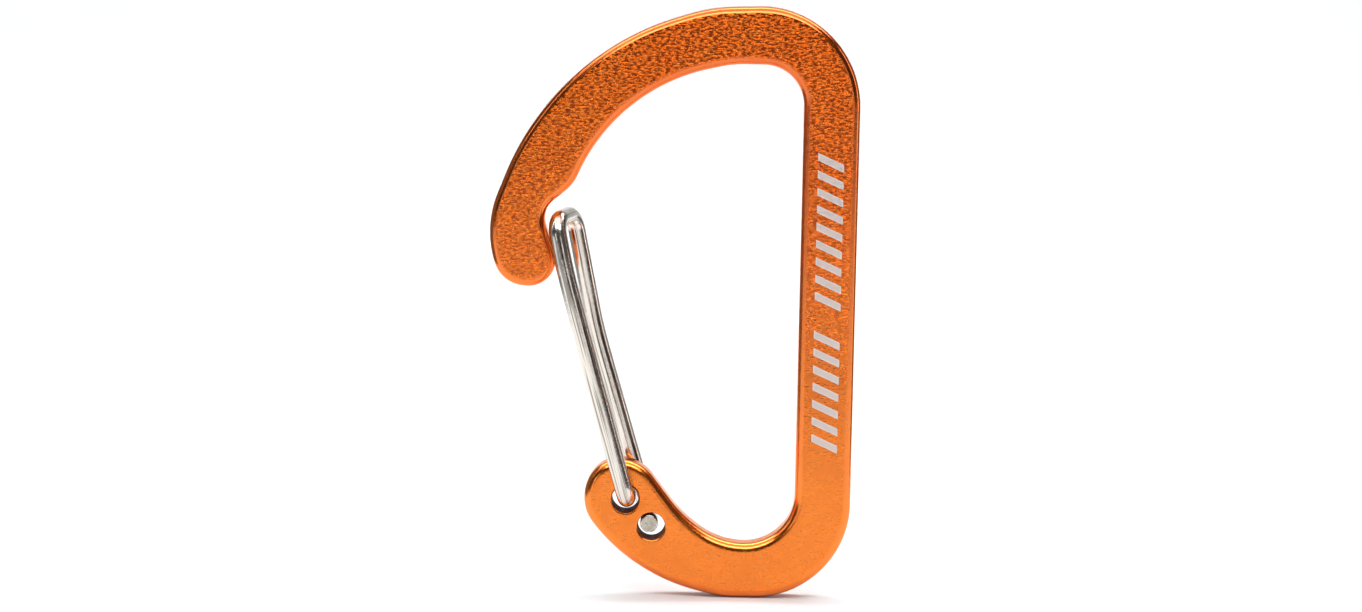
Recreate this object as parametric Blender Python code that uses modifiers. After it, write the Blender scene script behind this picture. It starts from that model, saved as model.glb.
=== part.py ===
"""Flat wire-gate carabiner, 80 mm tall, as separate solids: one forged body and one sprung wire gate.

Run it with: blender --background --python part.py

Row frame, in metres: +X from the gate to the spine, +Y from the marked front face to the back face, +Z up.
The origin is where a sling bears: on the inside of the top bow, halfway through the thickness.
"""

import math

import bmesh
import bpy
from mathutils import Vector

MM = 0.001

# Body: flat bar, bent to a D, with rounded edges all round
BODY_THICKNESS = 4.8 * MM
EDGE_RADIUS = 1.2 * MM
EDGE_SEGMENTS = 3

# Outline corners in millimetres, (x, z, radius of the round that replaces the corner), clockwise from the hook's back
BODY_OUTLINE = (
    (-35.4, -22.5, 14.0),  # back of the hook
    (-31.0, -11.3, 35.0),  # shoulder, three flat arcs
    (-21.4, 2.4, 36.0),
    (-5.4, 7.5, 22.8),
    (14.85, 8.3, 13.4),  # top bow, outside
    (14.85, -72.1, 13.0),  # foot bow, outside
    (-2.1, -72.4, 12.4),
    (-14.4, -69.5, 25.4),  # underside of the arm to the eye end
    (-21.9, -60.1, 5.6),  # eye end
    (-19.4, -52.7, 4.7),
    (-13.1, -54.5, 6.1),
    (-7.8, -61.4, 18.8),  # foot bow, inside
    (-2.8, -64.8, 10.3),
    (7.3, -65.2, 6.8),
    (7.3, 0.0, 5.5),  # top bow, inside
    (-2.3, 0.0, 15.5),
    (-17.8, -3.6, 24.9),
    (-23.4, -16.6, 5.8),  # bump above the notch
    (-27.7, -20.2, 3.1),  # notch that the gate's nose closes into
    (-26.5, -23.8, 8.1),
    (-23.6, -31.1, 3.7),  # hook tip
    (-33.0, -30.1, 4.4),
)
LONGEST_CHORD = 1.2 * MM
SHORTEST_CHORD = 0.2 * MM
WIDEST_ARC_STEP = math.radians(10)

# Eye end: two through holes, one for each end of the wire, so that the gate springs shut
FRONT_HOLE = Vector((-15.6 * MM, -59.1 * MM))
REAR_HOLE = Vector((-12.05 * MM, -62.75 * MM))
HOLE_RADIUS = 1.85 * MM
HOLE_SIDES = 28

# Gate: one round steel wire, bent round the nose, whose ends hook into the two holes from opposite faces
WIRE_RADIUS = 1.2 * MM
WIRE_SIDES_SETTING = 3  # bevel_resolution 3 gives a ring of 10 sides
FACE_CLEARANCE = 0.3 * MM
STUB_SETBACK = 0.25 * MM  # each cut end stops short of the far face
FRONT_PIVOT = FRONT_HOLE + Vector((0.15 * MM, 0.15 * MM))
REAR_PIVOT = REAR_HOLE + Vector((-0.30 * MM, 0.33 * MM))  # opening the gate slides it down its hole
FRONT_BOW = Vector((-24.2 * MM, -28.4 * MM))  # where each leg bends a little between its hole and the nose
REAR_BOW = Vector((-20.2 * MM, -36.6 * MM))
FRONT_NOSE = Vector((-25.7 * MM, -21.4 * MM))
REAR_NOSE = Vector((-23.45 * MM, -20.9 * MM))
NOSE_HALF_DEPTH = 3.3 * MM
PIVOT_BEND_RADIUS = 1.8 * MM
BOW_RADIUS = 60.0 * MM
NOSE_BEND_RADIUS = 2.4 * MM
TWIST_GAP = 0.3 * MM  # between the two halves of the nose, which twist against each other

ORANGE = (0.83, 0.27, 0.05, 1.0)
STEEL = (0.62, 0.60, 0.57, 1.0)


def clear_scene():
    for obj in list(bpy.data.objects):
        bpy.data.objects.remove(obj, do_unlink=True)


def new_collection(name):
    collection = bpy.data.collections.new(name)
    bpy.context.scene.collection.children.link(collection)
    return collection


def metal(name, colour, roughness):
    material = bpy.data.materials.new(name)
    material.use_nodes = True
    shader = material.node_tree.nodes["Principled BSDF"]
    shader.inputs["Base Color"].default_value = colour
    shader.inputs["Roughness"].default_value = roughness
    shader.inputs["Metallic"].default_value = 1.0
    return material


def arc_points(before, corner, after, radius):
    """Points on the round that replaces a corner, in 2D or 3D, ends included."""
    towards_start = (before - corner).normalized()
    towards_end = (after - corner).normalized()
    opening = towards_start.angle(towards_end)
    tangent_length = radius / math.tan(opening / 2)
    centre = corner + (towards_start + towards_end).normalized() * (radius / math.sin(opening / 2))
    start = corner + towards_start * tangent_length - centre
    end = corner + towards_end * tangent_length - centre
    sweep = math.pi - opening
    steps = max(2, math.ceil(sweep * radius / LONGEST_CHORD), math.ceil(sweep / WIDEST_ARC_STEP))
    turned = (math.sin(sweep * (1 - i / steps)) * start + math.sin(sweep * i / steps) * end for i in range(steps + 1))
    return [centre + point / math.sin(sweep) for point in turned]


def rounded_outline(corners):
    """The closed outline whose sharp corners are replaced by rounds, as 2D points in metres.

    Where one round runs into the next, a point almost on top of the one before it is left out.
    """
    places = [Vector((x * MM, z * MM)) for x, z, _ in corners]
    outline = []
    for i, (_, _, radius) in enumerate(corners):
        after = places[(i + 1) % len(places)]
        outline += arc_points(places[i - 1], places[i], after, radius * MM)
    return [point for i, point in enumerate(outline) if (point - outline[i - 1]).length > SHORTEST_CHORD]


def poly_curve(name, points, dimensions, cyclic):
    curve = bpy.data.curves.new(name, "CURVE")
    curve.dimensions = dimensions
    spline = curve.splines.new("POLY")
    spline.points.add(len(points) - 1)
    for place, point in zip(spline.points, points):
        place.co = (*point.to_3d(), 1.0)
    spline.use_cyclic_u = cyclic
    return curve


def plate_mesh(name, outline, thickness):
    """A closed mesh of the filled outline, with one many-sided face at the front and one at the back."""
    curve = poly_curve(name + "_outline", outline, "2D", True)
    curve.fill_mode = "BOTH"
    curve.extrude = thickness / 2
    guide = bpy.data.objects.new(curve.name, curve)
    bpy.context.scene.collection.objects.link(guide)
    graph = bpy.context.evaluated_depsgraph_get()
    mesh = bpy.data.meshes.new_from_object(guide.evaluated_get(graph))
    bpy.data.objects.remove(guide, do_unlink=True)
    mesh.name = name
    bm = bmesh.new()
    bm.from_mesh(mesh)
    bmesh.ops.remove_doubles(bm, verts=bm.verts, dist=0.001 * MM)
    for side in (1, -1):
        cap = [face for face in bm.faces if face.normal.z * side > 0.99]
        bmesh.ops.dissolve_faces(bm, faces=cap)
    bmesh.ops.recalc_face_normals(bm, faces=bm.faces)
    bm.to_mesh(mesh)
    bm.free()
    return mesh


def hole_cutter(name, place, collection):
    """A bar through the body along Y, to be cut out of it."""
    mesh = bpy.data.meshes.new(name)
    bm = bmesh.new()
    bmesh.ops.create_cone(
        bm,
        cap_ends=True,
        segments=HOLE_SIDES,
        radius1=HOLE_RADIUS,
        radius2=HOLE_RADIUS,
        depth=2 * BODY_THICKNESS,
    )
    bm.to_mesh(mesh)
    bm.free()
    cutter = bpy.data.objects.new(name, mesh)
    cutter.location = (place.x, 0.0, place.y)
    cutter.rotation_euler = (math.pi / 2, 0.0, 0.0)
    cutter.hide_render = True
    cutter.display_type = "WIRE"
    collection.objects.link(cutter)
    return cutter


def make_body(parts, cutters, material):
    mesh = plate_mesh("carabiner_body", rounded_outline(BODY_OUTLINE), BODY_THICKNESS)
    mesh.materials.append(material)
    body = bpy.data.objects.new("carabiner_body", mesh)
    body.rotation_euler = (math.pi / 2, 0.0, 0.0)
    parts.objects.link(body)

    rounding = body.modifiers.new("edge_rounding", "BEVEL")
    rounding.limit_method = "ANGLE"
    rounding.angle_limit = math.radians(60)
    rounding.width = EDGE_RADIUS
    rounding.segments = EDGE_SEGMENTS
    rounding.use_clamp_overlap = False

    for name, place in (("front_hole", FRONT_HOLE), ("rear_hole", REAR_HOLE)):
        drilling = body.modifiers.new(name, "BOOLEAN")
        drilling.operation = "DIFFERENCE"
        drilling.object = hole_cutter(name, place, cutters)
    return body


def make_gate_leg(name, pivot, bow, nose, side, parts, material):
    """Half of the gate wire, from its cut end to the middle of the nose.

    side is -1 for the leg in front of the body and 1 for the leg behind it. The object's origin is
    on the axis that the half turns about: the front one at its hole, the rear one at the nose.
    """
    leg_depth = side * (BODY_THICKNESS / 2 + FACE_CLEARANCE + WIRE_RADIUS)
    stub_depth = -side * (BODY_THICKNESS / 2 - STUB_SETBACK)
    nose_middle = (FRONT_NOSE + REAR_NOSE) / 2
    split = Vector((nose_middle.x, 0.0, nose_middle.y))
    nose_corner = Vector((nose.x, side * NOSE_HALF_DEPTH, nose.y))
    half_gap = (nose_corner - split).normalized() * (TWIST_GAP / 2)
    corners = (
        Vector((pivot.x, stub_depth, pivot.y)),
        Vector((pivot.x, leg_depth, pivot.y)),
        Vector((bow.x, leg_depth, bow.y)),
        nose_corner,
        split + half_gap,
    )
    route = [corners[0]]
    for i, radius in enumerate((PIVOT_BEND_RADIUS, BOW_RADIUS, NOSE_BEND_RADIUS)):
        route += arc_points(corners[i], corners[i + 1], corners[i + 2], radius)
    route.append(corners[-1])

    axis_point = Vector((pivot.x, 0.0, pivot.y)) if side < 0 else split
    curve = poly_curve(name, [point - axis_point for point in route], "3D", False)
    curve.bevel_depth = WIRE_RADIUS
    curve.bevel_resolution = WIRE_SIDES_SETTING
    curve.use_fill_caps = True
    curve.materials.append(material)
    leg = bpy.data.objects.new(name, curve)
    leg.location = axis_point
    parts.objects.link(leg)
    return leg


def main():
    clear_scene()
    parts = new_collection("wire_gate_carabiner")
    cutters = new_collection("cutters")
    orange = metal("orange_anodised_aluminium", ORANGE, 0.38)
    steel = metal("stainless_wire", STEEL, 0.25)
    make_body(parts, cutters, orange)
    make_gate_leg("gate_wire_front_leg", FRONT_PIVOT, FRONT_BOW, FRONT_NOSE, -1, parts, steel)
    make_gate_leg("gate_wire_rear_leg", REAR_PIVOT, REAR_BOW, REAR_NOSE, 1, parts, steel)


main()
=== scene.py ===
import math

import bmesh
import bpy
from mathutils import Matrix, Vector


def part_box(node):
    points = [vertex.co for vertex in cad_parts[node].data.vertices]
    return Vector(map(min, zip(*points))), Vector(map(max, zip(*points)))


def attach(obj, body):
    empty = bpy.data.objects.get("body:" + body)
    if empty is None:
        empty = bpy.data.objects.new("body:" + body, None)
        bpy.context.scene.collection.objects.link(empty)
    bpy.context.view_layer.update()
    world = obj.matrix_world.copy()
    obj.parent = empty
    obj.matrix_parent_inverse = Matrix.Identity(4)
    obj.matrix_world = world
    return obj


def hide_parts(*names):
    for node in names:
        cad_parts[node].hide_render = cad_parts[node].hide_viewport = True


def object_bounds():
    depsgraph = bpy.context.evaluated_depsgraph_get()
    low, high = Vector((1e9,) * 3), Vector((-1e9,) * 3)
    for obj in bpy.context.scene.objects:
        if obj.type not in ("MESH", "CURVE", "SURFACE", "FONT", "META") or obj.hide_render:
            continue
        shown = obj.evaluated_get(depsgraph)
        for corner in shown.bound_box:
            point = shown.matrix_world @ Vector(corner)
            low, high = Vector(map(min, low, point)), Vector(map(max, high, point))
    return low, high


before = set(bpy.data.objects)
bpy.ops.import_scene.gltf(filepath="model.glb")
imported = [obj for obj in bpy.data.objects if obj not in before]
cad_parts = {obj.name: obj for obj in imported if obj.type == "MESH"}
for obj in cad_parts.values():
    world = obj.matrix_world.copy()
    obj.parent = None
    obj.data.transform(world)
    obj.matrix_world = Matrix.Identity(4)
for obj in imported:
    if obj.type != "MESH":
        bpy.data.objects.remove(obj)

bl_info = {
    "name": "Wire-gate carabiner",
    "version": (1, 0, 0),
    "blender": (4, 5, 0),
    "location": "3D View > Sidebar > Carabiner",
    "description": "Builds the finished surfaces of a flat wire-gate carabiner and its studio",
    "category": "Add Mesh",
}

MM = 0.001
CAD_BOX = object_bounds()
BODY_LOW, BODY_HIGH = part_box("carabiner_body")
COLLECTION = "carabiner_finish"

# Outline of the flat body, (x, z, radius of the round at that corner) in millimetres,
# clockwise from the hook's back
BODY_OUTLINE = (
    (-35.4, -22.5, 14.0),  # back of the hook
    (-31.0, -11.3, 35.0),  # shoulder, three flat arcs
    (-21.4, 2.4, 36.0),
    (-5.4, 7.5, 22.8),
    (14.85, 8.3, 13.4),  # top bow, outside
    (14.85, -72.1, 13.0),  # foot bow, outside
    (-2.1, -72.4, 12.4),
    (-14.4, -69.5, 25.4),  # underside of the arm to the eye end
    (-21.9, -60.1, 5.6),  # eye end
    (-19.4, -52.7, 4.7),
    (-13.1, -54.5, 6.1),
    (-7.8, -61.4, 18.8),  # foot bow, inside
    (-2.8, -64.8, 10.3),
    (7.3, -65.2, 6.8),
    (7.3, 0.0, 5.5),  # top bow, inside
    (-2.3, 0.0, 15.5),
    (-17.8, -3.6, 24.9),
    (-23.4, -16.6, 5.8),  # bump above the notch
    (-27.7, -20.2, 3.1),  # notch that the gate's nose closes into
    (-26.5, -23.8, 8.1),
    (-23.6, -31.1, 3.7),  # hook tip
    (-33.0, -30.1, 4.4),
)
SHORTEST_CHORD = 0.12 * MM

# Centres of the holes that the wire's front and rear ends sit in, (x, z) in millimetres
HOLES = ((-15.6, -59.1), (-12.05, -62.75))

# Printed mark on the front of the spine: rows of slanted bars, each row as the height of its first
# bar's middle in millimetres and its number of bars
SPINE_AXIS = 11.07 * MM
BAR_ROWS = ((-12.9, 9), (-36.9, 7))
BAR_PITCH = 2.34 * MM
BAR_SLANT = 0.45
BAR_HALF_HEIGHT = 0.52 * MM
BAR_HALF_WIDTH = 1.75 * MM
BAR_BLUR = 0.03 * MM
BAR_BORDER = 0.17 * MM
BORDER_INK = (0.74, 0.67, 0.65, 1.0)

# The gate wire's corners, (x, y, z, bend radius) in millimetres, from its front cut end to its rear one;
# the one in the middle of the nose has no bend, and is where the front leg ends and the rear leg begins
SPLIT = (-24.575, 0.0, -21.15)
WIRE_ROUTE = (
    (-15.45, 2.15, -58.95, 0.0),
    (-15.45, -3.9, -58.95, 1.8),
    (-24.2, -3.9, -28.4, 60.0),
    (-25.7, -3.3, -21.4, 2.4),
    (*SPLIT, 0.0),
    (-23.45, 3.3, -20.9, 2.4),
    (-20.2, 3.9, -36.6, 60.0),
    (-12.35, 3.9, -62.42, 1.8),
    (-12.35, -2.15, -62.42, 0.0),
)
TWIST_GAP = 0.02 * MM  # between the two legs at the split, where they twist
SHEARED_EDGE = 0.16 * MM

# Middle of the scuffed spot on the wire's front leg, near its nose
SCUFF = Vector((-24.4, -5.0, -27.4)) * MM

SMOOTH_UP_TO = math.radians(40)  # sharper edges than this stay creased


def length_setting(name, description, default, low, high):
    return bpy.props.FloatProperty(
        name=name,
        description=description,
        default=default,
        min=low,
        max=high,
        precision=6,
        unit="LENGTH",
    )


def colour_setting(name, description, default):
    return bpy.props.FloatVectorProperty(
        name=name,
        description=description,
        default=default,
        min=0.0,
        max=1.0,
        size=4,
        subtype="COLOR",
    )


class BodySettings(bpy.types.PropertyGroup):
    """Sizes and colours of the flat bar"""

    edge_radius: length_setting(
        "Edge radius", "Round along both faces' edges", 1.2 * MM, 0.3 * MM, 2.0 * MM
    )
    edge_segments: bpy.props.IntProperty(
        name="Edge segments", description="Facets across each rounded edge", default=10, min=3, max=16
    )
    chord: length_setting(
        "Chord", "Longest straight piece in the outline's curves", 0.35 * MM, 0.1 * MM, 2.0 * MM
    )
    hole_radius: length_setting(
        "Hole radius", "Radius of the two gate holes", 1.85 * MM, 1.3 * MM, 2.2 * MM
    )
    rim_radius: length_setting(
        "Rim radius", "Round at both ends of each hole", 0.32 * MM, 0.05 * MM, 0.5 * MM
    )
    anodising: colour_setting(
        "Anodising", "Colour of the dyed oxide", (1.0, 0.240, 0.024, 1.0)
    )
    # Deep colour, for uneven dye and for the painted shade at the top and in the grain's pits
    deep_dye_and_shade: colour_setting(
        "Deep anodising", "Colour where the dye took more strongly", (0.58, 0.050, 0.006, 1.0)
    )
    # The bore's colour is painted shade, dark for the shade inside the holes
    bore_shade: colour_setting("Bore", "Colour inside the drilled holes", (0.13, 0.032, 0.018, 1.0))
    grain_size: length_setting(
        "Grain size", "Width of one hammered pit", 0.24 * MM, 0.1 * MM, 3.0 * MM
    )
    grain_depth: length_setting(
        "Grain depth", "Depth of the hammered pits", 0.056 * MM, 0.0, 0.3 * MM
    )
    mark: colour_setting("Printed mark", "Colour of the printed bars", (0.68, 0.58, 0.55, 1.0))


class GateSettings(bpy.types.PropertyGroup):
    """Sizes and colours of the gate wire"""

    wire_radius: length_setting(
        "Wire radius", "Half the wire's thickness", 1.2 * MM, 0.5 * MM, 2.0 * MM
    )
    sides: bpy.props.IntProperty(
        name="Sides", description="Facets around the wire", default=40, min=12, max=96
    )
    steel: colour_setting("Steel", "Colour of the drawn steel", (0.87, 0.77, 0.685, 1.0))
    cut_steel: colour_setting(
        "Cut steel", "Colour of the sheared wire ends", (0.52, 0.48, 0.41, 1.0)
    )


class StageSettings(bpy.types.PropertyGroup):
    """Floor, lights and camera"""

    floor: colour_setting("Floor", "Colour of the paper sweep", (0.80, 0.84, 0.86, 1.0))
    distance: length_setting(
        "Camera distance", "From the camera to the carabiner", 0.56, 0.3, 3.0
    )
    elevation: bpy.props.FloatProperty(
        name="Camera elevation",
        description="Angle of the camera above level",
        default=math.radians(6.6),
        subtype="ANGLE",
    )
    roll: bpy.props.FloatProperty(
        name="Camera roll",
        description="Tilt of the camera about its own line of sight",
        default=math.radians(1.2),
        subtype="ANGLE",
    )
    view_width: length_setting(
        "View width", "Width of what the camera takes in at the carabiner", 0.184, 0.05, 1.0
    )


def finish_collection():
    collection = bpy.data.collections.get(COLLECTION)
    if collection is None:
        collection = bpy.data.collections.new(COLLECTION)
        bpy.context.scene.collection.children.link(collection)
    return collection


def new_object(name, bm, materials):
    """A piece from a finished bmesh, smooth except where it has sharp edges."""
    mesh = bpy.data.meshes.new(name)
    bm.to_mesh(mesh)
    bm.free()
    for material in materials:
        mesh.materials.append(material)
    mesh.shade_smooth()
    mesh.set_sharp_from_angle(angle=SMOOTH_UP_TO)
    obj = bpy.data.objects.new(name, mesh)
    finish_collection().objects.link(obj)
    return obj


def verts_in(geometry):
    return [item for item in geometry if isinstance(item, bmesh.types.BMVert)]


def edges_in(geometry):
    return [item for item in geometry if isinstance(item, bmesh.types.BMEdge)]


# Materials


def new_material(name):
    material = bpy.data.materials.new(name)
    material.use_nodes = True
    return material, material.node_tree, material.node_tree.nodes["Principled BSDF"]


def add(tree, kind, **values):
    """A node of that kind, with each value put on the property or else the socket of its name."""
    node = tree.nodes.new(kind)
    for key, value in values.items():
        if hasattr(node, key):
            setattr(node, key, value)
        else:
            node.inputs[key.replace("_", " ")].default_value = value
    return node


def math_node(tree, operation, first, second=None, clamp=False):
    node = add(tree, "ShaderNodeMath", operation=operation, use_clamp=clamp)
    for socket, value in zip(node.inputs, (first, second)):
        if isinstance(value, bpy.types.NodeSocket):
            tree.links.new(value, socket)
        elif value is not None:
            socket.default_value = value
    return node.outputs[0]


def weighted_sum(tree, *terms):
    """Sum of (value, weight) pairs."""
    total = None
    for value, weight in terms:
        term = value if weight == 1.0 else math_node(tree, "MULTIPLY", value, weight)
        total = term if total is None else math_node(tree, "ADD", total, term)
    return total


def ramp_between(tree, value, low, high, out_low=0.0, out_high=1.0):
    node = add(tree, "ShaderNodeMapRange", interpolation_type="SMOOTHSTEP")
    tree.links.new(value, node.inputs["Value"])
    node.inputs["From Min"].default_value = low
    node.inputs["From Max"].default_value = high
    node.inputs["To Min"].default_value = out_low
    node.inputs["To Max"].default_value = out_high
    return node.outputs[0]


def mix_colours(tree, factor, first, second):
    node = add(tree, "ShaderNodeMix", data_type="RGBA")
    sockets = (node.inputs[0], node.inputs[6], node.inputs[7])
    for socket, value in zip(sockets, (factor, first, second)):
        if isinstance(value, bpy.types.NodeSocket):
            tree.links.new(value, socket)
        else:
            socket.default_value = value
    return node.outputs[2]


def noise(tree, vector, size, detail=2.0, roughness=0.5, distortion=0.0):
    """Noise whose features are about size across; size is a number in metres or a socket."""
    node = add(tree, "ShaderNodeTexNoise")
    tree.links.new(vector, node.inputs["Vector"])
    if isinstance(size, bpy.types.NodeSocket):
        tree.links.new(math_node(tree, "DIVIDE", 1.0, size), node.inputs["Scale"])
    else:
        node.inputs["Scale"].default_value = 1.0 / size
    node.inputs["Detail"].default_value = detail
    node.inputs["Roughness"].default_value = roughness
    node.inputs["Distortion"].default_value = distortion
    return node.outputs["Fac"]


def new_group(name, inputs, outputs):
    """A node group with its own input and output nodes, and sockets given as (name, type, default)."""
    group = bpy.data.node_groups.new(name, "ShaderNodeTree")
    for socket_name, socket_type, default in inputs:
        socket = group.interface.new_socket(name=socket_name, in_out="INPUT", socket_type=socket_type)
        if default is not None:
            socket.default_value = default
    for socket_name, socket_type in outputs:
        group.interface.new_socket(name=socket_name, in_out="OUTPUT", socket_type=socket_type)
    return group, group.nodes.new("NodeGroupInput").outputs, group.nodes.new("NodeGroupOutput").inputs


def mottle_group():
    """Slow variation over a surface, such as uneven dye or handling, between two given values."""
    found = bpy.data.node_groups.get("surface_mottle")
    if found:
        return found
    group, given, result = new_group(
        "surface_mottle",
        (
            ("Vector", "NodeSocketVector", None),
            ("Size", "NodeSocketFloat", 0.004),
            ("Low", "NodeSocketFloat", 0.0),
            ("High", "NodeSocketFloat", 1.0),
        ),
        (("Value", "NodeSocketFloat"),),
    )
    broad = noise(group, given["Vector"], given["Size"], detail=3.0, roughness=0.6)
    spread = add(group, "ShaderNodeMapRange", From_Min=0.3, From_Max=0.7)
    group.links.new(broad, spread.inputs["Value"])
    group.links.new(given["Low"], spread.inputs["To Min"])
    group.links.new(given["High"], spread.inputs["To Max"])
    group.links.new(spread.outputs[0], result["Value"])
    return group


def mottle(tree, vector, size, low, high):
    node = add(tree, "ShaderNodeGroup", node_tree=mottle_group())
    tree.links.new(vector, node.inputs["Vector"])
    node.inputs["Size"].default_value = size
    node.inputs["Low"].default_value = low
    node.inputs["High"].default_value = high
    return node.outputs["Value"]


def bump(tree, shader, height, distance):
    node = add(tree, "ShaderNodeBump", Distance=distance)
    tree.links.new(height, node.inputs["Height"])
    tree.links.new(node.outputs[0], shader.inputs["Normal"])


def printed_bars(tree, across, along, depth):
    """Masks of the printed bars and, inside each one's border, of its core."""
    slanted = math_node(tree, "ADD", along, math_node(tree, "MULTIPLY", across, BAR_SLANT))
    on_front = math_node(tree, "LESS_THAN", depth, BODY_LOW.y + 0.1 * MM)
    from_axis = math_node(tree, "ABSOLUTE", across)
    masks = []
    for border in (0.0, BAR_BORDER):
        half_height = BAR_HALF_HEIGHT - border
        half_width = BAR_HALF_WIDTH - border
        rows = []
        for first, count in BAR_ROWS:
            below_first = math_node(tree, "SUBTRACT", first * MM, slanted)
            steps = math_node(tree, "DIVIDE", below_first, BAR_PITCH)
            nearest = math_node(tree, "ROUND", steps)
            off = math_node(tree, "ABSOLUTE", math_node(tree, "SUBTRACT", steps, nearest))
            from_bar = math_node(tree, "MULTIPLY", off, BAR_PITCH)
            inside = ramp_between(tree, from_bar, half_height + BAR_BLUR, half_height - BAR_BLUR)
            off_middle = math_node(tree, "SUBTRACT", steps, 0.5 * (count - 1))
            in_row = math_node(tree, "LESS_THAN", math_node(tree, "ABSOLUTE", off_middle), 0.5 * count)
            rows.append(math_node(tree, "MULTIPLY", inside, in_row))
        wide = ramp_between(tree, from_axis, half_width + BAR_BLUR, half_width - BAR_BLUR)
        both = math_node(tree, "MAXIMUM", *rows)
        masks.append(math_node(tree, "MULTIPLY", math_node(tree, "MULTIPLY", both, wide), on_front))
    return masks


def shaded_drilled_bore(settings):
    """Inside of the drilled holes: painted dark for the shade inside them, dull and ringed by the drill."""
    material, tree, shader = new_material("shaded_drilled_bore")
    shader.inputs["Specular IOR Level"].default_value = 0.12
    place = add(tree, "ShaderNodeTexCoord").outputs["Object"]
    rings = add(tree, "ShaderNodeMapping")
    rings.inputs["Scale"].default_value = (0.1, 1.0, 0.1)
    tree.links.new(place, rings.inputs["Vector"])
    tool_marks = noise(tree, rings.outputs[0], 0.15 * MM)
    lighter = (*(2.2 * c for c in settings.bore_shade[:3]), 1.0)
    ringed = mix_colours(tree, ramp_between(tree, tool_marks, 0.4, 0.65), settings.bore_shade, lighter)
    tree.links.new(ringed, shader.inputs["Base Color"])
    tree.links.new(mottle(tree, place, 0.6 * MM, 0.6, 0.8), shader.inputs["Roughness"])
    bump(tree, shader, tool_marks, 0.05 * MM)
    return material


def hammered_anodising(settings):
    """Orange dyed oxide over a hammered grain, which fades out on the rounded edges; its colour has painted
    shade towards the top and in the pits, and painted light makes the hook paler.
    """
    material, tree, shader = new_material("hammered_orange_anodising")
    shader.inputs["Coat Roughness"].default_value = 0.13
    shader.inputs["Coat IOR"].default_value = 1.7
    shader.inputs["Specular Tint"].default_value = (1.0, 0.54, 0.24, 1.0)
    place = add(tree, "ShaderNodeTexCoord").outputs["Object"]
    split = add(tree, "ShaderNodeSeparateXYZ")
    tree.links.new(place, split.inputs[0])
    x, y, z = split.outputs

    # The grain is deepest at the top and on the hook, and fades towards the foot and the edges
    from_middle = math_node(tree, "ABSOLUTE", y)
    face = BODY_HIGH.y
    on_face = ramp_between(tree, from_middle, face - 0.08 * MM, face - 0.005 * MM)
    towards_top = ramp_between(tree, z, -64 * MM, -10 * MM)
    towards_hook = ramp_between(tree, x, -6 * MM, -28 * MM, 1.0, 1.5)
    by_height = ramp_between(tree, towards_top, 0.0, 1.0, 0.06, 1.0)
    strength = math_node(tree, "MULTIPLY", by_height, towards_hook)
    rolled = add(tree, "ShaderNodeMapping")
    rolled.inputs["Scale"].default_value = (0.38, 1.0, 1.0)
    tree.links.new(place, rolled.inputs["Vector"])
    pits = noise(tree, rolled.outputs[0], settings.grain_size, detail=1.5, distortion=0.15)
    wrinkles = math_node(tree, "ABSOLUTE", math_node(tree, "SUBTRACT", pits, 0.5))
    relief = math_node(tree, "SUBTRACT", math_node(tree, "ADD", pits, wrinkles), 0.58)
    grain = math_node(tree, "MULTIPLY", relief, math_node(tree, "MULTIPLY", on_face, strength))
    swells = noise(tree, place, 3.0 * settings.grain_size, detail=1.0)
    bump(tree, shader, weighted_sum(tree, (grain, 4.0), (swells, 0.35)), settings.grain_depth)

    # Colour: uneven dye at random, with painted shade darkening it towards the top and painted light making
    # the hook paler
    uneven = mottle(tree, place, 5.0 * MM, 0.0, 0.10)
    paler_hook = ramp_between(tree, towards_hook, 1.0, 1.5, 0.0, 0.14)
    dye_and_painted_light = weighted_sum(tree, (uneven, 1.0), (towards_top, 0.44))
    dye_and_painted_light = math_node(tree, "SUBTRACT", dye_and_painted_light, paler_hook)
    # Painted shade in the grain's pits, darker where the pits are deep
    painted_pit_shade = math_node(tree, "MULTIPLY", ramp_between(tree, pits, 0.5, 0.36, 0.0, 0.32), strength)
    painted_pit_shade = math_node(tree, "MULTIPLY", painted_pit_shade, on_face)
    dye_and_painted_shade_depth = math_node(tree, "ADD", dye_and_painted_light, painted_pit_shade, clamp=True)
    metal = mix_colours(tree, dye_and_painted_shade_depth, settings.anodising, settings.deep_dye_and_shade)

    across = math_node(tree, "SUBTRACT", x, SPINE_AXIS)
    printed, core = printed_bars(tree, across, z, y)
    ink = mix_colours(tree, core, BORDER_INK, settings.mark)
    tree.links.new(mix_colours(tree, printed, metal, ink), shader.inputs["Base Color"])
    tree.links.new(math_node(tree, "SUBTRACT", 1.0, printed), shader.inputs["Metallic"])
    tree.links.new(ramp_between(tree, on_face, 0.0, 1.0, 0.45, 0.25), shader.inputs["Coat Weight"])
    satin = mottle(tree, place, 1.5 * MM, 0.23, 0.31)
    off_face = math_node(tree, "SUBTRACT", 1.0, on_face)
    rough = weighted_sum(tree, (satin, 1.0), (off_face, -0.07), (printed, 0.2))
    tree.links.new(rough, shader.inputs["Roughness"])
    return material


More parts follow.
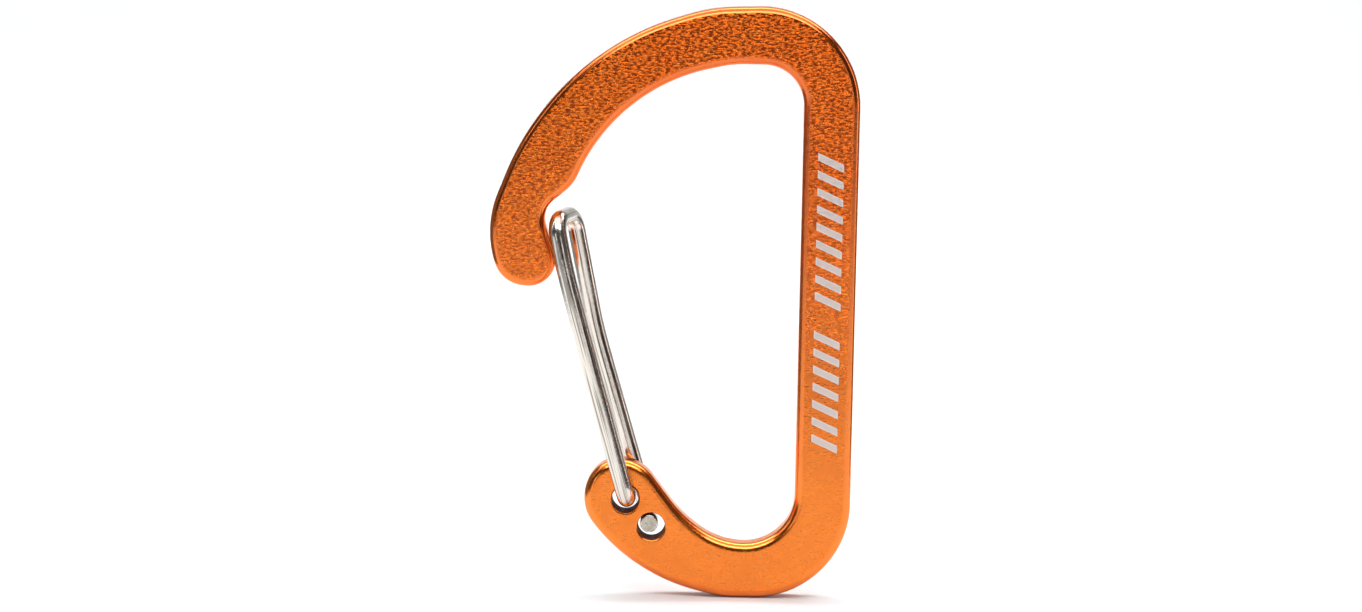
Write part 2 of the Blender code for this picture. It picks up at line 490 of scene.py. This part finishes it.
def drawn_steel(settings):
    """Polished stainless wire with fine streaks along it: the drawing die's lines in its roughness and
    bumps, and painted reflection streaks, dark and light, in its colour.
    """
    material, tree, shader = new_material("drawn_stainless_wire")
    shader.inputs["Metallic"].default_value = 1.0
    straight = add(tree, "ShaderNodeAttribute", attribute_name="straight_wire").outputs["Vector"]
    stretch = add(tree, "ShaderNodeMapping")
    stretch.inputs["Scale"].default_value = (1.0, 1.0, 0.02)
    tree.links.new(straight, stretch.inputs["Vector"])
    streaks = noise(tree, stretch.outputs[0], 0.27 * MM, detail=1.5, roughness=0.6)
    broad_reflection_streaks = noise(tree, stretch.outputs[0], 0.7 * MM, detail=1.0)
    # Painted reflections: dark and light streaks in the wire's colour, standing in for the studio's dark
    # gaps and bright strips
    shade = weighted_sum(tree, (streaks, 0.8), (broad_reflection_streaks, 0.2))
    dark = (*(0.38 * c for c in settings.steel[:3]), 1.0)
    painted_reflection_streaks = ramp_between(tree, shade, 0.42, 0.50)
    tree.links.new(mix_colours(tree, painted_reflection_streaks, dark, settings.steel), shader.inputs["Base Color"])

    place = add(tree, "ShaderNodeTexCoord").outputs["Object"]
    away = add(tree, "ShaderNodeVectorMath", operation="DISTANCE")
    away.inputs[1].default_value = SCUFF
    tree.links.new(place, away.inputs[0])
    scuffed = ramp_between(tree, away.outputs["Value"], 2.2 * MM, 0.2 * MM)
    polish = mottle(tree, straight, 1.2 * MM, 0.08, 0.18)
    rough = weighted_sum(tree, (polish, 1.0), (streaks, 0.08), (scuffed, 0.05))
    tree.links.new(rough, shader.inputs["Roughness"])

    dents = noise(tree, straight, 0.9 * MM, detail=1.0)
    orange_peel = noise(tree, straight, 0.28 * MM, detail=1.0)
    scratches = noise(tree, place, 0.32 * MM, detail=1.0, distortion=0.8)
    scuff_marks = math_node(tree, "MULTIPLY", scratches, scuffed)
    height = weighted_sum(
        tree, (streaks, 0.4), (dents, 0.4), (orange_peel, 0.22), (scuff_marks, 1.6)
    )
    bump(tree, shader, height, 0.03 * MM)
    return material


def sheared_steel(settings):
    """The wire's cut ends: dull, torn and pitted."""
    material, tree, shader = new_material("sheared_wire_end")
    shader.inputs["Metallic"].default_value = 1.0
    place = add(tree, "ShaderNodeTexCoord").outputs["Object"]
    torn = noise(tree, place, 0.25 * MM, detail=4.0, roughness=0.7, distortion=1.0)
    bright = (*(min(1.0, 1.5 * c) for c in settings.cut_steel[:3]), 1.0)
    patches = ramp_between(tree, torn, 0.4, 0.6)
    tree.links.new(mix_colours(tree, patches, settings.cut_steel, bright), shader.inputs["Base Color"])
    tree.links.new(mottle(tree, place, 0.5 * MM, 0.38, 0.62), shader.inputs["Roughness"])
    bump(tree, shader, torn, 0.12 * MM)
    return material


def floor_paper(settings):
    """White paper, faintly uneven, which glows a little only where the camera sees it."""
    material, tree, shader = new_material("white_paper_sweep")
    place = add(tree, "ShaderNodeTexCoord").outputs["Object"]
    dimmer = (*(0.97 * c for c in settings.floor[:3]), 1.0)
    tone = mottle(tree, place, 0.12, 0.0, 1.0)
    tree.links.new(mix_colours(tree, tone, settings.floor, dimmer), shader.inputs["Base Color"])
    tree.links.new(mottle(tree, place, 0.03, 0.55, 0.75), shader.inputs["Roughness"])
    seen = add(tree, "ShaderNodeLightPath").outputs["Is Camera Ray"]
    shader.inputs["Emission Color"].default_value = (1.0, 1.0, 1.0, 1.0)
    tree.links.new(math_node(tree, "MULTIPLY", seen, 0.06), shader.inputs["Emission Strength"])
    return material


def grey_cloth():
    material, _, shader = new_material("grey_flag_cloth")
    shader.inputs["Base Color"].default_value = (0.20, 0.20, 0.20, 1.0)
    shader.inputs["Roughness"].default_value = 0.9
    return material


# Shapes


def arc_of_corner(before, corner, after, radius):
    """Start point, centre, axis and sweep of the round that replaces a corner."""
    towards_start = (before - corner).normalized()
    towards_end = (after - corner).normalized()
    opening = towards_start.angle(towards_end)
    centre = corner + (towards_start + towards_end).normalized() * (radius / math.sin(opening / 2))
    start = corner + towards_start * (radius / math.tan(opening / 2))
    axis = towards_end.cross(towards_start).normalized()
    return start, centre, axis, math.pi - opening


def flat_outline(bm, corners, chord):
    """Edges of the closed outline, each round swept from its first point."""
    places = [Vector((x * MM, 0.0, z * MM)) for x, z, _ in corners]
    first = last = None
    for i, (_, _, radius) in enumerate(corners):
        after = places[(i + 1) % len(places)]
        start, centre, axis, sweep = arc_of_corner(places[i - 1], places[i], after, radius * MM)
        vert = bm.verts.new(start)
        if last:
            bm.edges.new((last, vert))
        first = first or vert
        steps = max(3, math.ceil(sweep * radius * MM / chord))
        swept = bmesh.ops.spin(bm, geom=[vert], cent=centre, axis=axis, angle=sweep, steps=steps)
        last = verts_in(swept["geom_last"])[0]
    bm.edges.new((last, first))


def hole_cutter(name, place, settings):
    """A turned plug, flared at both faces so that it leaves a rounded rim."""
    half = BODY_HIGH.y
    radius = settings.hole_radius
    rim = settings.rim_radius
    rim_steps = 5
    bm = bmesh.new()
    profile = [bm.verts.new((0.0, -2 * half, 0.0)), bm.verts.new((radius + rim, -2 * half, 0.0))]
    for side in (-1, 1):
        for step in range(rim_steps + 1):
            turn = math.radians(90 / rim_steps * (step if side < 0 else rim_steps - step))
            out = radius + rim * (1 - math.sin(turn))
            profile.append(bm.verts.new((out, side * (half - rim + rim * math.cos(turn)), 0.0)))
    profile.append(bm.verts.new((radius + rim, 2 * half, 0.0)))
    profile.append(bm.verts.new((0.0, 2 * half, 0.0)))
    edges = [bm.edges.new(pair) for pair in zip(profile, profile[1:])]
    bmesh.ops.spin(bm, geom=profile + edges, axis=(0, 1, 0), angle=math.tau, steps=72, use_merge=True)
    bmesh.ops.remove_doubles(bm, verts=bm.verts, dist=0.002 * MM)
    bmesh.ops.recalc_face_normals(bm, faces=bm.faces)
    bmesh.ops.translate(bm, verts=bm.verts, vec=(place[0] * MM, 0.0, place[1] * MM))
    mesh = bpy.data.meshes.new(name)
    bm.to_mesh(mesh)
    bm.free()
    cutter = bpy.data.objects.new(name, mesh)
    finish_collection().objects.link(cutter)
    return cutter


def cut_away(obj, cutters):
    """Subtracts the cutters from the piece for good, and removes them."""
    for cutter in cutters:
        cut = obj.modifiers.new(cutter.name, "BOOLEAN")
        cut.operation = "DIFFERENCE"
        cut.object = cutter
    graph = bpy.context.evaluated_depsgraph_get()
    mesh = bpy.data.meshes.new_from_object(obj.evaluated_get(graph))
    obj.modifiers.clear()
    rough = obj.data
    obj.data = mesh
    mesh.name = rough.name
    bpy.data.meshes.remove(rough)
    for cutter in cutters:
        bpy.data.meshes.remove(cutter.data)


class CARABINER_OT_body(bpy.types.Operator):
    """Build the hammered, anodised flat bar with its two gate holes"""

    bl_idname = "carabiner.body"
    bl_label = "Body"
    bl_options = {"REGISTER", "UNDO"}

    def execute(self, context):
        settings = context.scene.carabiner_body
        bm = bmesh.new()
        flat_outline(bm, BODY_OUTLINE, settings.chord)
        bmesh.ops.remove_doubles(bm, verts=bm.verts, dist=SHORTEST_CHORD)
        flat = bmesh.ops.contextual_create(bm, geom=bm.edges[:])["faces"]
        bmesh.ops.translate(bm, verts=bm.verts, vec=(0.0, BODY_LOW.y, 0.0))
        pulled = bmesh.ops.extrude_face_region(bm, geom=flat)["geom"]
        bmesh.ops.translate(bm, verts=verts_in(pulled), vec=(0.0, BODY_HIGH.y - BODY_LOW.y, 0.0))
        bmesh.ops.recalc_face_normals(bm, faces=bm.faces)
        sharp = [edge for edge in bm.edges if edge.calc_face_angle() > math.radians(60)]
        bmesh.ops.bevel(
            bm,
            geom=sharp,
            affect="EDGES",
            offset=settings.edge_radius,
            segments=settings.edge_segments,
            profile=0.5,
            material=-1,
            clamp_overlap=False,
        )
        finishes = [hammered_anodising(settings), shaded_drilled_bore(settings)]
        body = new_object("hammered_body", bm, finishes)
        cutters = [hole_cutter(f"hole_cutter_{i}", place, settings) for i, place in enumerate(HOLES)]
        cut_away(body, cutters)
        # Faces inside the holes take the bore's painted shade
        bore_wall = settings.hole_radius + 0.02 * MM
        for polygon in body.data.polygons:
            middle = (polygon.center.x, polygon.center.z)
            if min(math.dist(middle, (x * MM, z * MM)) for x, z in HOLES) < bore_wall:
                polygon.material_index = 1
        body.data.shade_smooth()
        body.data.set_sharp_from_angle(angle=SMOOTH_UP_TO)
        level = body.modifiers.new("level_faces", "WEIGHTED_NORMAL")
        level.keep_sharp = True
        level.weight = 100
        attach(body, "body")
        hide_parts("carabiner_body")
        return {"FINISHED"}


def swept_wire(route, radius, sides):
    """A round bar along a route of corners, with a layer that holds each point's place on the straight wire.

    Faces carry the number of the stretch they are in, which goes up at each corner without a bend.
    """
    corners = [Vector(stop[:3]) * MM for stop in route]
    bm = bmesh.new()
    straight = bm.verts.layers.float_vector.new("straight_wire")
    stretch = bm.faces.layers.int.new("stretch")
    heading = (corners[1] - corners[0]).normalized()
    turn = Vector((0, 0, 1)).rotation_difference(heading).to_matrix().to_4x4()
    ring = bmesh.ops.create_circle(bm, segments=sides, radius=radius)["verts"]
    for vert in ring:
        vert[straight] = vert.co
    bmesh.ops.transform(bm, matrix=Matrix.Translation(corners[0]) @ turn, verts=ring)
    edges = bm.edges[:]
    at = corners[0]
    travel = 0.0
    number = 0

    def finish_step(verts, length):
        nonlocal travel
        travel += length
        for vert in verts:
            vert[straight] = (vert[straight][0], vert[straight][1], travel)
            for face in vert.link_faces:
                face[stretch] = number

    def go_straight(target):
        nonlocal at, edges
        step = target - at
        if step.length < 0.001 * MM:
            return
        out = bmesh.ops.extrude_edge_only(bm, edges=edges)["geom"]
        verts = verts_in(out)
        bmesh.ops.translate(bm, verts=verts, vec=step)
        edges = [edge for edge in edges_in(out) if all(vert in verts for vert in edge.verts)]
        finish_step(verts, step.length)
        at = target

    def go_round(centre, axis, sweep, bend):
        nonlocal at, edges
        steps = max(4, math.ceil(sweep / math.radians(6)))
        for _ in range(steps):
            out = bmesh.ops.spin(bm, geom=edges, cent=centre, axis=axis, angle=sweep / steps, steps=1)
            edges = edges_in(out["geom_last"])
            finish_step(verts_in(out["geom_last"]), bend * sweep / steps)
        at = centre + Matrix.Rotation(sweep, 3, axis) @ (at - centre)

    for before, corner, after, stop in zip(corners, corners[1:], corners[2:], route[1:]):
        bend = stop[3] * MM
        if bend:
            start, centre, axis, sweep = arc_of_corner(before, corner, after, bend)
            go_straight(start)
            go_round(centre, axis, sweep, bend)
        else:
            go_straight(corner)
            number += 1
    go_straight(corners[-1])
    return bm


def stretch_of(wire, number):
    """A closed copy of one numbered stretch of the wire, a hair short where the wire is split."""
    bm = wire.copy()
    layer = bm.faces.layers.int["stretch"]
    others = [face for face in bm.faces if face[layer] != number]
    bmesh.ops.delete(bm, geom=others, context="FACES")
    split = Vector(SPLIT) * MM
    before_split = WIRE_ROUTE[WIRE_ROUTE.index((*SPLIT, 0.0)) - 1]
    rim = [vert for vert in bm.verts if vert.is_boundary and (vert.co - split).length < 2 * MM]
    inwards = sum((vert.co for vert in bm.verts), Vector()) / len(bm.verts) - split
    along = (Vector(before_split[:3]) * MM - split).normalized()
    bmesh.ops.translate(bm, verts=rim, vec=along * math.copysign(TWIST_GAP / 2, along.dot(inwards)))
    ends = [edge for edge in bm.edges if edge.is_boundary]
    bmesh.ops.holes_fill(bm, edges=ends, sides=0)
    bmesh.ops.recalc_face_normals(bm, faces=bm.faces)
    return bm


def cap_nearest(bm, place):
    caps = (face for face in bm.faces if len(face.verts) > 4)
    return min(caps, key=lambda cap: (cap.calc_center_median() - place).length)


def shear_end(bm, place):
    """Gives the cut end nearest a place its own material and a small burr-free edge."""
    bmesh.ops.bevel(
        bm,
        geom=cap_nearest(bm, place).edges[:],
        affect="EDGES",
        offset=SHEARED_EDGE,
        segments=3,
        profile=0.5,
        material=-1,
    )
    cap_nearest(bm, place).material_index = 1


class CARABINER_OT_gate_wire(bpy.types.Operator):
    """Build the bent spring wire of the gate, from one cut end to the other"""

    bl_idname = "carabiner.gate_wire"
    bl_label = "Gate wire"
    bl_options = {"REGISTER", "UNDO"}

    def execute(self, context):
        settings = context.scene.carabiner_gate
        steel = drawn_steel(settings)
        cut = sheared_steel(settings)
        wire = swept_wire(WIRE_ROUTE, settings.wire_radius, settings.sides)
        legs = (
            ("gate_wire_front", 0, WIRE_ROUTE[0], "gate_front", "gate_wire_front_leg"),
            ("gate_wire_rear", 1, WIRE_ROUTE[-1], "gate_rear", "gate_wire_rear_leg"),
        )
        for name, number, stub, carrier, node in legs:
            bm = stretch_of(wire, number)
            shear_end(bm, Vector(stub[:3]) * MM)
            leg = new_object(name, bm, [steel, cut])
            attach(leg, carrier)
            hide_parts(node)
        wire.free()
        return {"FINISHED"}


def softbox(name, place, aim, size, brightness):
    """An even rectangular light of a given brightness, whatever its size."""
    data = bpy.data.lights.new(name, "AREA")
    data.shape = "RECTANGLE"
    data.size, data.size_y = size
    data.energy = math.pi * size[0] * size[1] * brightness
    light = bpy.data.objects.new(name, data)
    light.location = place
    light.rotation_euler = (Vector(aim) - Vector(place)).to_track_quat("-Z", "Y").to_euler()
    light.visible_camera = False
    finish_collection().objects.link(light)


def flag(name, cloth, x, near, far):
    """A grey card beside the set, seen only in reflections, which gives shiny edges a dark outline."""
    foot, height = -0.07, 0.10
    bm = bmesh.new()
    edge = bm.edges.new((bm.verts.new((x, near, foot)), bm.verts.new((x, far, foot))))
    out = bmesh.ops.extrude_edge_only(bm, edges=[edge])["geom"]
    bmesh.ops.translate(bm, verts=verts_in(out), vec=(0.0, 0.0, height))
    card = new_object(name, bm, [cloth])
    card.visible_camera = False
    card.visible_diffuse = False
    card.visible_shadow = False


def paper_sweep(settings):
    """A floor that curves up into a back wall."""
    ground = CAD_BOX[0][2]
    half_width = 2.0
    front, back = -2.5, 0.8
    curve, wall = 0.5, 1.5
    bm = bmesh.new()
    left = bm.verts.new((-half_width, front, ground))
    right = bm.verts.new((half_width, front, ground))
    out = bmesh.ops.extrude_edge_only(bm, edges=[bm.edges.new((left, right))])["geom"]
    verts = verts_in(out)
    edges = [edge for edge in edges_in(out) if all(vert in verts for vert in edge.verts)]
    bmesh.ops.translate(bm, verts=verts, vec=(0.0, back - front, 0.0))
    centre = (0.0, back, ground + curve)
    swept = bmesh.ops.spin(bm, geom=edges, cent=centre, axis=(1, 0, 0), angle=math.pi / 2, steps=24)
    out = bmesh.ops.extrude_edge_only(bm, edges=edges_in(swept["geom_last"]))["geom"]
    bmesh.ops.translate(bm, verts=verts_in(out), vec=(0.0, 0.0, wall))
    bmesh.ops.recalc_face_normals(bm, faces=bm.faces)
    return new_object("paper_sweep", bm, [floor_paper(settings)])


def add_camera(settings):
    """A camera in front of about the carabiner's middle, looking slightly down on it."""
    aim = Vector((-8.64 * MM, 0.0, -32.9 * MM))
    away = Vector((0.0, -math.cos(settings.elevation), math.sin(settings.elevation)))
    forward = -away
    up = Vector((-math.sin(settings.roll), 0.0, math.cos(settings.roll)))
    right = forward.cross(up).normalized()
    up = right.cross(forward)
    data = bpy.data.cameras.new("camera")
    data.sensor_width = 36.0
    data.lens = data.sensor_width * settings.distance / settings.view_width
    data.clip_start = 0.01
    camera = bpy.data.objects.new("camera", data)
    turn = Matrix((right, up, away)).transposed().to_4x4()
    camera.matrix_world = Matrix.Translation(aim + away * settings.distance) @ turn
    finish_collection().objects.link(camera)
    bpy.context.scene.camera = camera


def studio_world():
    """White where it is seen, and a dim room for everything that it lights."""
    world = bpy.data.worlds.new("studio")
    world.use_nodes = True
    tree = world.node_tree
    seen = add(tree, "ShaderNodeLightPath").outputs["Is Camera Ray"]
    room = mix_colours(tree, seen, (0.06, 0.06, 0.06, 1.0), (1.0, 1.0, 1.0, 1.0))
    tree.links.new(room, tree.nodes["Background"].inputs["Color"])
    return world


class CARABINER_OT_stage(bpy.types.Operator):
    """Build the paper sweep, the soft lights and the camera"""

    bl_idname = "carabiner.stage"
    bl_label = "Stage"
    bl_options = {"REGISTER", "UNDO"}

    def execute(self, context):
        settings = context.scene.carabiner_stage
        paper_sweep(settings)
        add_camera(settings)
        middle = (0.0, 0.0, -0.03)
        softbox("key_softbox", (0.0, -0.38, 0.50), middle, (0.80, 0.24), 4.9)
        softbox("overhead_softbox", (0.0, 0.13, 0.75), middle, (1.2, 0.93), 1.15)
        softbox("front_left_softbox", (-0.52, -0.75, 0.06), middle, (0.20, 0.25), 1.5)
        softbox("front_right_softbox", (0.40, -0.82, 0.04), middle, (0.26, 0.25), 0.9)
        softbox("left_strip", (-0.62, -0.10, 0.42), middle, (0.06, 0.50), 3.5)
        softbox("right_strip", (0.75, 0.08, 0.12), middle, (0.12, 0.70), 3.0)
        cloth = grey_cloth()
        flag("left_flag", cloth, -0.12, -0.02, 0.26)
        flag("right_flag", cloth, 0.10, 0.02, 0.12)
        softbox("back_softbox", (0.0, 0.35, 0.80), (0.0, 0.85, 0.05), (1.6, 0.40), 6.0)
        context.scene.world = studio_world()
        context.scene.view_settings.view_transform = "Standard"
        return {"FINISHED"}


class CARABINER_PT_panel(bpy.types.Panel):
    """Lists the pieces that can be built"""

    bl_idname = "CARABINER_PT_panel"
    bl_label = "Carabiner"
    bl_space_type = "VIEW_3D"
    bl_region_type = "UI"
    bl_category = "Carabiner"

    def draw(self, context):
        scene = context.scene
        for settings, operator in (
            (scene.carabiner_body, CARABINER_OT_body),
            (scene.carabiner_gate, CARABINER_OT_gate_wire),
            (scene.carabiner_stage, CARABINER_OT_stage),
        ):
            box = self.layout.box()
            box.operator(operator.bl_idname)
            for name in settings.__annotations__:
                box.prop(settings, name)


CLASSES = (
    BodySettings,
    GateSettings,
    StageSettings,
    CARABINER_OT_body,
    CARABINER_OT_gate_wire,
    CARABINER_OT_stage,
    CARABINER_PT_panel,
)


def register():
    for cls in CLASSES:
        bpy.utils.register_class(cls)
    bpy.types.Scene.carabiner_body = bpy.props.PointerProperty(type=BodySettings)
    bpy.types.Scene.carabiner_gate = bpy.props.PointerProperty(type=GateSettings)
    bpy.types.Scene.carabiner_stage = bpy.props.PointerProperty(type=StageSettings)


def unregister():
    del bpy.types.Scene.carabiner_stage
    del bpy.types.Scene.carabiner_gate
    del bpy.types.Scene.carabiner_body
    for cls in reversed(CLASSES):
        bpy.utils.unregister_class(cls)


def main():
    register()
    bpy.ops.carabiner.body()
    bpy.ops.carabiner.gate_wire()
    bpy.ops.carabiner.stage()


if __name__ == "__main__":
    main()
